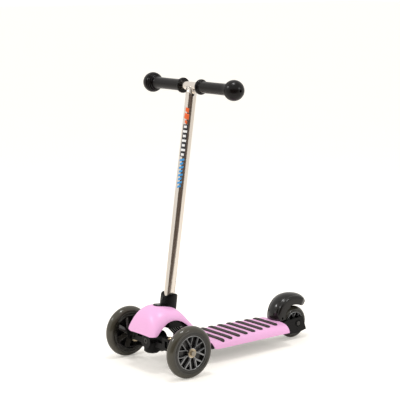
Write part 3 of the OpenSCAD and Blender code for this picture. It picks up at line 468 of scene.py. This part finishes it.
def makeGrips():
    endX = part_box("left_grip")[1].x * 1000
    ballX = endX - grip["ballR"] + 0.19
    axis = middle("crossbar")
    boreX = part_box("crossbar")[1].x * 1000 + 0.2
    innerX, bodyR, ballR = grip["innerX"], grip["bodyR"], grip["ballR"]
    collarEnd, turned = innerX + grip["collarWide"], grip["collarRound"]
    collarTop = grip["collarR"] - turned
    outline = [(boreX, 0), (boreX, grip["barR"]), (innerX, grip["barR"]), (innerX, collarTop)]
    outline += arc(innerX + turned, collarTop, turned, 180, 90, 5)
    outline += arc(collarEnd - turned, collarTop, turned, 90, 10, 5)
    outline += [(collarEnd + 0.4, bodyR + 0.8), (collarEnd + 1.6, bodyR)]
    meet = math.sqrt(ballR ** 2 - (bodyR + 1.2) ** 2)
    bodyEnd = ballX - meet - 3
    x0 = collarEnd + 2
    for k in range(9):  # shallow waist between the collar and the ball
        t = k / 8
        outline.append((x0 + (bodyEnd - x0) * t, bodyR - grip["waist"] * sin(math.pi * t)))
    outline.append((bodyEnd + 2, bodyR + 0.5))
    start = math.degrees(math.atan2(bodyR + 1.6, -meet))
    hole = math.degrees(math.asin(grip["holeR"] / ballR))
    for k in range(grip["ballSteps"] + 1):
        a = start + (hole - start) * k / grip["ballSteps"]
        r = ballR
        groove = (a - grip["ridgeFrom"]) / grip["ridgePitch"]  # grooves round the half that faces the hand
        if 0 <= groove <= grip["ridges"]:
            r -= grip["ridgeDeep"] * max(0, cos(2 * math.pi * (groove - 0.5)))
        outline.append((ballX + r * cos(radians(a)), r * sin(radians(a))))
    holeR, holeEnd = grip["holeR"] - 0.4, endX - grip["holeDeep"]
    outline += [(endX - 0.6, holeR), (holeEnd, holeR), (holeEnd, 0)]
    for name, sign in (("left", 1), ("right", -1)):
        bm = bmesh.new()
        lathe(bm, outline, axis, (sign, 0, 0), 96)
        piece(f"{name}Grip", bm, "frame", [gripRubber], [f"{name}_grip"], 48)


makeGrips()
print("grips made")


socket = dict(outerR=19.5, innerR=12.75, top=33, dip=9, edge=1.2, flangeR=19.6, tongueR=14, tongueOut=40,
              low=-12, flangeHigh=4.2)


def makeSocket():
    bm = bmesh.new()
    outer, inner, edge = socket["outerR"], socket["innerR"], socket["edge"]
    low, top, lipR = socket["low"], socket["top"], outer - 0.2
    # radius, height, and share of the dip between the ears
    stations = [(outer, low, 0), (outer, 1.5, 0), (outer, 8, 0.1), (outer, 16, 0.4), (outer - 0.1, 24, 0.8),
                (lipR, top - edge, 1), (lipR - edge * 0.3, top - edge * 0.35, 1), (lipR - edge, top, 1),
                (inner + edge, top, 1), (inner + edge * 0.3, top - edge * 0.35, 1), (inner, top - edge, 1),
                (inner, 12, 0.3), (inner, 4, 0), (inner, low + 0.3, 0), (outer, low, 0)]

    def place(u, v):
        a = 2 * math.pi * u
        r, s, share = stations[round(v * (len(stations) - 1))]
        return onPost(r * sin(a), -r * cos(a), s - share * socket["dip"] * abs(cos(a)) ** 2.4)

    sheet(bm, 96, len(stations) - 1, place)
    for s in (low, socket["flangeHigh"]):  # round flange with its tongue towards the front
        for r, y in ((socket["flangeR"], 0), (socket["tongueR"], socket["tongueR"] - socket["tongueOut"])):
            made = bmesh.ops.create_circle(bm, segments=64, radius=r / 1000)["verts"]
            for v in made:
                v.co = onPost(v.co.x * 1000, v.co.y * 1000 + y, s)
                v.tag = True
    rim = [v for v in bm.verts if v.tag]
    hull = bmesh.ops.convex_hull(bm, input=rim)
    bmesh.ops.delete(bm, geom=[g for g in hull["geom_interior"] + hull["geom_unused"]
                               if isinstance(g, bmesh.types.BMVert)], context="VERTS")
    bmesh.ops.dissolve_limit(bm, angle_limit=radians(1), verts=[v for v in bm.verts if v.tag],
                             edges=[e for e in bm.edges if all(v.tag for v in e.verts)])
    upper = [e for e in bm.edges if len(e.link_faces) == 2 and e.calc_face_angle() > 1
             and all(v.tag and (v.co - postFoot).dot(postAxis) > 0 for v in e.verts)]
    bmesh.ops.bevel(bm, geom=upper, offset=edge / 1000, offset_type="OFFSET", segments=3, profile=0.5,
                    affect="EDGES", material=-1)
    piece("postSocket", bm, "frame", [blackPlastic], ["stem_socket"], 40)


makeSocket()
print("socket made")


post = dict(r=12.5, bore=11, foot=-34, topGap=1.5, rows=[0, 0.02, 0.3, 0.6, 0.9, 0.97, 1], beadR=1.5,
            beadSquash=0.8, beadIn=0.93, beadLow=2.5, ripples=46, rippleShare=0.12, plugLow=-4.2, plugHigh=-3.0)


def makePost():
    r, rows, barR = post["r"], post["rows"], halfSize("crossbar").z
    barS = (middle("crossbar") - postFoot).length * 1000
    bm = bmesh.new()

    def outside(u, v):  # up to the crossbar's underside
        a = 2 * math.pi * u
        top = min(barS - math.sqrt(max(0, barR ** 2 - (r * cos(a)) ** 2)), barS - post["topGap"])
        s = post["foot"] + (top - post["foot"]) * rows[round(v * (len(rows) - 1))]
        return onPost(r * sin(a), -r * cos(a), s)

    sheet(bm, 96, len(rows) - 1, outside)
    tube = piece("postTube", bm, "frame", [polishedAlloy], ["stem_tube"], 50, turnOut=False)
    wall = tube.modifiers.new("wall", "SOLIDIFY")
    wall.thickness = (r - post["bore"]) / 1000
    wall.offset = -1

    bm = bmesh.new()  # weld bead along the saddle, with its ripples

    def bead(u, v):
        a, b = 2 * math.pi * u, 2 * math.pi * v
        y = max(-barR + 0.6, min(barR - 0.6, -r * cos(a)))
        x = r * sin(a)
        s = min(barS - math.sqrt(barR ** 2 - y * y), barS - post["beadLow"])
        thick = post["beadR"] * (1 + post["rippleShare"] * sin(post["ripples"] * a))
        return onPost(x + thick * cos(b) * sin(a), -r * cos(a) * post["beadIn"] - thick * cos(b) * cos(a),
                      s + thick * sin(b) * post["beadSquash"])

    sheet(bm, 240, 10, bead)
    low, high, plugR = post["plugLow"], post["plugHigh"], post["bore"] + 0.6
    # plug under the bar
    lathe(bm, [(low, 0), (low, plugR), (high, plugR), (high, 0)], onPost(0, 0, barS), postAxis, 64)
    piece("postWeld", bm, "frame", [satinSteel], [], 60)


makePost()
print("post made")


marks = dict(centreTurn=28, lift=0.12, film=0.08, orange=(0.86, 0.13, 0.02), white=(0.92, 0.92, 0.92),
             ink=(0.03, 0.03, 0.035), blue=(0.04, 0.33, 0.72),
             # bottom, top and width along the post
             orangeBars=[(424, 431, 6), (434, 447, 12), (450, 460, 9)], orangeSlant=-3,
             rungs=7, firstRung=349, rungPitch=10.6, rungGround=(-1.2, 9.4, 12.4), rung=(1, 6.4),
             rungWide=(7.2, 10.4), rungLift=0.06,
             dashes=8, firstDash=277, dashPitch=8.7, dashHigh=5, dashWide=(8.5, 11.5), dashSlant=3.5)


def makeMarks():
    colours = [finish(f"mark{name.title()}", marks[name], 0.35, coat=0.3, mottle=(300, 0.04),
                      grain=(1500, 0.02)) for name in ("orange", "white", "ink", "blue")]
    bm = bmesh.new()
    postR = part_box("stem_tube")[1].x * 1000

    def patch(low, high, wide, slant, material, lift=0.0):
        def place(u, v):
            t = (u - 0.5) * wide
            s = low + (high - low) * v + slant * (u - 0.5)
            a = radians(marks["centreTurn"]) + t / postR
            r = postR + marks["lift"] + lift
            return onPost(r * sin(a), -r * cos(a), s)

        before = set(bm.faces)
        sheet(bm, 8, 6, place)
        for face in set(bm.faces) - before:
            face.material_index = material

    for low, high, wide in marks["orangeBars"]:
        patch(low, high, wide, marks["orangeSlant"], 0)
    below, above, groundWide = marks["rungGround"]
    for k in range(marks["rungs"]):  # plain rungs on a dark ground
        low = marks["firstRung"] + k * marks["rungPitch"]
        patch(low + below, low + above, groundWide, 0, 2)
        patch(low + marks["rung"][0], low + marks["rung"][1], marks["rungWide"][k % 2], 0, 1, marks["rungLift"])
    for k in range(marks["dashes"]):
        low = marks["firstDash"] + k * marks["dashPitch"]
        patch(low, low + marks["dashHigh"], marks["dashWide"][k % 2], marks["dashSlant"], 3)
    done = piece("postMarks", bm, "frame", colours, ["stem_decal"], 60, turnOut=False)
    wall = done.modifiers.new("film", "SOLIDIFY")
    wall.thickness = marks["film"] / 1000
    wall.offset = 0


makeMarks()
print("marks made")


brake = dict(crownBack=15, crownZ=62, crownR=54, tailDrop=30, start=192, tailTo=55, arcShare=0.62, low=54.6,
             wall=3.3, rows=60, noseRows=8, nose=9.5, noseFrom=0.86, noseNarrow=0.32, noseShallow=0.3,
             noseDrop=3.5, noseDepth=-11,
             # distance from the middle against depth below the crown
             section=[(0, 0), (5, -0.35), (10, -1.4), (14, -2.9), (16.6, -4.2), (17.6, -5.1), (18.4, -5.3),
                      (19.3, -4.9), (20.6, -5.5), (22, -6.9), (23.1, -9), (23.8, -11.6), (24, -15), (24, -21),
                      (24, -27)])


def crownLine(t):  # place and direction on the ridge, from the deck at 0 to the tail at 1
    y, z = wheelbase - brake["crownBack"], brake["crownZ"]
    share, r = brake["arcShare"], brake["crownR"]
    if t < share:
        a = brake["start"] - (brake["start"] - 90) * t / share
        return y + r * cos(radians(a)), z + r * sin(radians(a)), radians(a)
    a = 90 - (90 - brake["tailTo"]) * (t - share) / (1 - share)
    r += brake["tailDrop"]
    return y + r * cos(radians(a)), z - brake["tailDrop"] + r * sin(radians(a)), radians(a)


def makeBrake():
    bm = bmesh.new()
    section, capRows, rows = brake["section"], brake["noseRows"], brake["rows"]
    across = 2 * (len(section) - 1)
    sides = [(-x, d) for x, d in section[:0:-1]] + section

    def place(u, v):
        row = round(v * (rows + capRows))
        t = min(1, row / rows)
        cap = max(0, row - rows) / capRows * math.pi / 2
        y, z, a = crownLine(t)
        x, d = sides[round(u * across)]
        end = max(0, (t - brake["noseFrom"]) / (1 - brake["noseFrom"])) ** 2
        x *= 1 - brake["noseNarrow"] * end
        d = d * (1 - brake["noseShallow"] * end) - brake["noseDrop"] * end
        x, d = x * cos(cap), brake["noseDepth"] + (d - brake["noseDepth"]) * cos(cap)
        out = brake["nose"] * sin(cap)
        return mm(x, y + d * cos(a) + out * sin(a), z + d * sin(a) - out * cos(a))

    sheet(bm, across, rows + capRows, place)
    bmesh.ops.bisect_plane(bm, geom=bm.verts[:] + bm.edges[:] + bm.faces[:], dist=1e-6,
                           plane_co=(0, 0, brake["low"] / 1000), plane_no=(0, 0, 1), clear_inner=True)
    bmesh.ops.remove_doubles(bm, verts=bm.verts, dist=weldGap)
    bmesh.ops.recalc_face_normals(bm, faces=bm.faces)
    upper = max(bm.faces, key=lambda f: f.calc_center_median().z)
    if upper.normal.z < 0:
        bmesh.ops.reverse_faces(bm, faces=bm.faces)
    fender = piece("brakeFender", bm, "rear_brake", [glossBlack], ["rear_brake"], 60,
                   turnOut=False)
    wall = fender.modifiers.new("wall", "SOLIDIFY")
    wall.thickness = brake["wall"] / 1000
    wall.offset = -1
    soften(fender, 0.6, 55, 2)


makeBrake()
print("brake made")


# keep is the share of a spring's length that is left at the limit
spring = dict(wire=0.7, turns=5, stepsATurn=24, coilKeep=0.6, leafKeep=0.62)


def makeSprings():
    wire = spring["wire"] / 1000
    for side, outer in (("left", 1), ("right", -1)):
        node = f"{side}_centring_spring"
        low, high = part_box(node)
        centre = (low + high) / 2
        coilR = (high.z - low.z) / 2 - wire
        bm = bmesh.new()
        start = Matrix.Translation((low.x + wire, centre.y, centre.z + coilR))
        wireEnd = start @ Matrix.Rotation(radians(90), 4, "X")
        bmesh.ops.create_circle(bm, cap_ends=True, segments=12, radius=wire, matrix=wireEnd)
        steps = spring["turns"] * spring["stepsATurn"]
        bmesh.ops.spin(bm, geom=bm.verts[:] + bm.edges[:] + bm.faces[:], cent=centre, axis=(1, 0, 0),
                       dvec=((high.x - low.x - 2 * wire) / steps, 0, 0), angle=2 * math.pi * spring["turns"],
                       steps=steps)
        coil = piece(f"{side}CentringSpring", bm, "truck", [satinSteel], [node], 60)
        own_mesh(coil)
    bm = bmesh.new()
    bm.from_mesh(frame["nodes"]["lock_spring"].data)
    bmesh.ops.remove_doubles(bm, verts=bm.verts, dist=1e-6)
    leaf = piece("lockSpring", bm, "frame", [satinSteel], ["lock_spring"], 30)
    press = next(j for j in frame["joints"] if j["name"] == "lock_button_press")
    push = Vector(press["axis"]).normalized()
    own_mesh(leaf)


makeSprings()
print("springs made")


keptParts = {
    polishedAlloy: ["crossbar"],
    blackPlastic: ["head_frame", "under_deck"],
    truckPlastic: ["steering_post", "axle_beam", "left_knuckle", "right_knuckle"],
    padRubber: ["brake_pad"],
    yellowZinc: ["left_kingpin", "right_kingpin", "left_axle_washer", "right_axle_washer"],
    hubZinc: ["left_stub_axle", "right_stub_axle"],
    bronze: ["lean_bush"],
    blackSteel: ["lock_button", "socket_screws", "post_screws", "lean_bolt", "lean_nut", "tie_rod", "rear_axle",
                 "rear_axle_nut", "brake_pin", "brake_screw"],
    satinSteel: ["deck_screws", "left_tie_pin", "right_tie_pin", "left_bearings", "right_bearings",
                 "rear_bearings", "brake_spring"]}
for made, names in keptParts.items():
    for name in names:
        frame["nodes"][name].data.materials.clear()
        frame["nodes"][name].data.materials.append(made)


def roundEdges(names, width):
    for name in names:
        part = frame["nodes"][name]
        weld = part.modifiers.new("weld", "WELD")
        weld.merge_threshold = 1e-5
        soften(part, width, 40, 2)


roundEdges(["axle_beam", "left_knuckle", "right_knuckle"], 1.0)
roundEdges(["under_deck"], 0.7)
print("finishes given")


studio = dict(
    floorHalf=30, floorGlow=0.34, whiteStrength=1.15, skyStrength=0.80,
    boardOut=1.5, boardWide=3.0, boardLow=0.02, boardHigh=1.15, boardTurn=52, lampAim=(0, 0, 0.25),
    # name, place, size, watts
    lamps=[("overheadLamp", (0.2, -0.3, 2.4), 0.5, 11),
           ("leftLamp", (-1.0, -1.9, 1.9), 0.35, 10),
           ("rightLamp", (2.2, 0.9, 1.6), 0.35, 6)])


def studioPiece(name, bm, made):
    mesh = bpy.data.meshes.new(name)
    bm.to_mesh(mesh)
    bm.free()
    mesh.materials.append(made)
    obj = bpy.data.objects.new(name, mesh)
    bpy.context.collection.objects.link(obj)
    return obj


bm = bmesh.new()
bmesh.ops.create_grid(bm, x_segments=4, y_segments=4, size=studio["floorHalf"])
paper = finish("floorPaper", (0.93, 0.90, 0.86), 0.75, specular=0.1, mottle=(3, 0.01), grain=(300, 0.02))
shader = paper.node_tree.nodes["Principled BSDF"]
shader.inputs["Emission Color"].default_value = (1.0, 0.97, 0.90, 1)
seenRay = paper.node_tree.nodes.new("ShaderNodeLightPath")  # the paper glows only where it is looked at
glow = paper.node_tree.nodes.new("ShaderNodeMath")
glow.operation = "MULTIPLY"
glow.inputs[1].default_value = studio["floorGlow"]
paper.node_tree.links.new(seenRay.outputs["Is Camera Ray"], glow.inputs[0])
paper.node_tree.links.new(glow.outputs["Value"], shader.inputs["Emission Strength"])
floor = studioPiece("studioFloor", bm, paper)

bm = bmesh.new()  # dark board that the polished parts mirror
boardHeight = studio["boardHigh"] - studio["boardLow"]
boardMiddle = (studio["boardHigh"] + studio["boardLow"]) / 2
bmesh.ops.create_grid(bm, x_segments=2, y_segments=2, size=0.5)
bmesh.ops.scale(bm, vec=(studio["boardWide"], boardHeight, 1), verts=bm.verts)
bmesh.ops.rotate(bm, matrix=Matrix.Rotation(radians(90), 3, "X"), verts=bm.verts)
bmesh.ops.translate(bm, vec=(0, -studio["boardOut"], boardMiddle), verts=bm.verts)
bmesh.ops.rotate(bm, matrix=Matrix.Rotation(radians(studio["boardTurn"]), 3, "Z"), verts=bm.verts)
boardPaint = finish("boardPaint", (0.10, 0.08, 0.07), 0.8, specular=0.1, mottle=(5, 0.05))
board = studioPiece("studioBoard", bm, boardPaint)
board.visible_camera = False
board.visible_diffuse = False

for name, place, size, watts in studio["lamps"]:
    lamp = bpy.data.lights.new(name, "AREA")
    lamp.shape = "DISK"
    lamp.size = size
    lamp.energy = watts
    stand = bpy.data.objects.new(name, lamp)
    stand.location = place
    stand.rotation_euler = (Vector(studio["lampAim"]) - Vector(place)).to_track_quat("-Z", "Y").to_euler()
    bpy.context.collection.objects.link(stand)

room = bpy.data.worlds.new("studioRoom")
bpy.context.scene.world = room
room.use_nodes = True
air = room.node_tree
back = air.nodes["Background"]
back.inputs["Color"].default_value = (1.0, 0.985, 0.96, 1)
back.inputs["Strength"].default_value = studio["skyStrength"]
seen = air.nodes.new("ShaderNodeBackground")  # plain white behind the scooter
seen.inputs["Color"].default_value = (1.0, 0.995, 0.985, 1)
seen.inputs["Strength"].default_value = studio["whiteStrength"]
which = air.nodes.new("ShaderNodeMixShader")
ray = air.nodes.new("ShaderNodeLightPath")
air.links.new(ray.outputs["Is Camera Ray"], which.inputs["Fac"])
air.links.new(back.outputs["Background"], which.inputs[1])
air.links.new(seen.outputs["Background"], which.inputs[2])
air.links.new(which.outputs["Shader"], air.nodes["World Output"].inputs["Surface"])
bpy.context.scene.view_settings.view_transform = "Standard"

camera = dict(place=(2.4508, -2.0019, 0.8989), turn=51.8, lift=9.5, lens=122.4, sensor=36, farthest=60)
eye = bpy.data.cameras.new("studioCamera")
eye.lens = camera["lens"]
eye.sensor_width = camera["sensor"]
eye.clip_end = camera["farthest"]
stand = bpy.data.objects.new("studioCamera", eye)
stand.location = camera["place"]
turn, lift = radians(camera["turn"]), radians(camera["lift"])
backwards = Vector((sin(turn) * cos(lift), -cos(turn) * cos(lift), sin(lift)))
stand.rotation_euler = (-backwards).to_track_quat("-Z", "Y").to_euler()
bpy.context.collection.objects.link(stand)
bpy.context.scene.camera = stand
print("studio ready")

bpy.context.view_layer.update()
